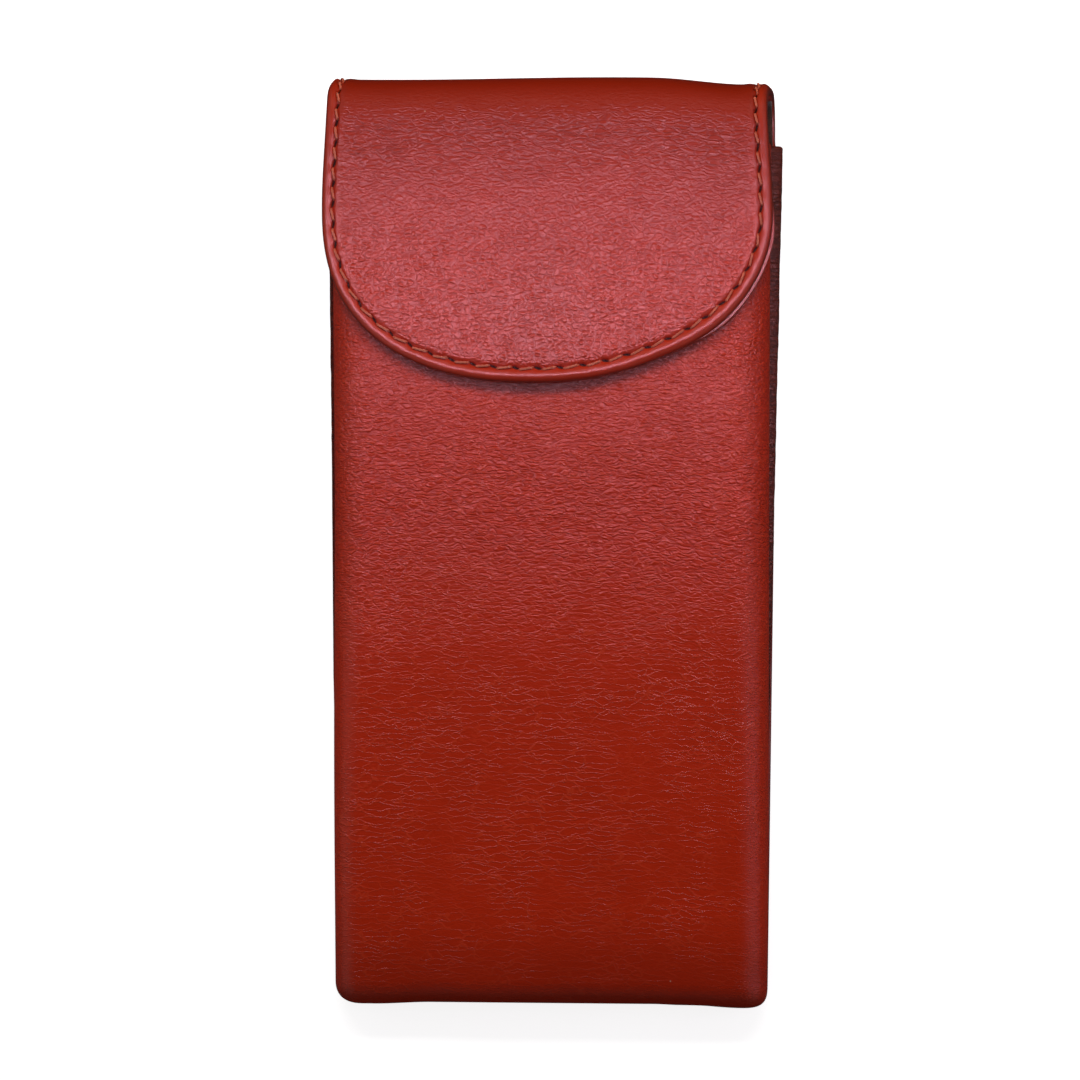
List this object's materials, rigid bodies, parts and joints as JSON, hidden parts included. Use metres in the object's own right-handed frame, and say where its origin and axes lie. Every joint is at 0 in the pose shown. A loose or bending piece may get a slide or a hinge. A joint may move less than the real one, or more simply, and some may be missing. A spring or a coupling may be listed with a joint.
{
  "type": "soft pouch glasses case",
  "caption": "Soft leather pouch case for glasses: padded wedge-shaped pocket with pleated side gussets and a stitched rounded flap that folds over the top and closes with hidden magnets.",
  "frame": {"origin": "middle of the footprint, on the plane that the back of the case lies on", "axes": "+Z out of the front of the case, +Y along the case towards the top fold, +X to the right seen from the front"},
  "size_m": [0.0846, 0.17, 0.026],
  "materials": {
    "red_leather": "satin",
    "gusset_leather": "satin",
    "facing_leather": "satin",
    "lining_cloth": "matte",
    "thread": "satin",
    "board": "matte",
    "padding": "matte",
    "magnet": "polished"
  },
  "bodies": {
    "pouch": {"back_leather": "red_leather", "back_board": "board", "back_lining": "lining_cloth", "back_stitches": "thread", "front_leather": "red_leather", "front_foam": "padding", "front_lining": "lining_cloth", "front_mouth_facing": "facing_leather", "front_magnet": "magnet", "mouth_stitches": "thread", "left_gusset": "gusset_leather", "left_gusset_lining": "lining_cloth", "right_gusset": "gusset_leather", "right_gusset_lining": "lining_cloth"},
    "top_fold": {"top_strip_leather": "red_leather", "top_strip_lining": "lining_cloth", "top_strip_stitches": "thread"},
    "flap": {"flap_leather": "red_leather", "flap_board": "board", "flap_lining": "facing_leather", "flap_magnet": "magnet", "flap_stitches": "thread"}
  },
  "joints": [
    {"name": "flap_rear_fold", "type": "hinge", "parent": "pouch", "child": "top_fold", "pos_m": [0, 0.08295, 0.00205], "axis": [-1, 0, 0], "range_deg": [0, 90]},
    {"name": "flap_front_fold", "type": "hinge", "parent": "top_fold", "child": "flap", "pos_m": [0, 0.08273, 0.0241], "axis": [-1, 0, 0], "range_deg": [0, 95]}
  ]
}
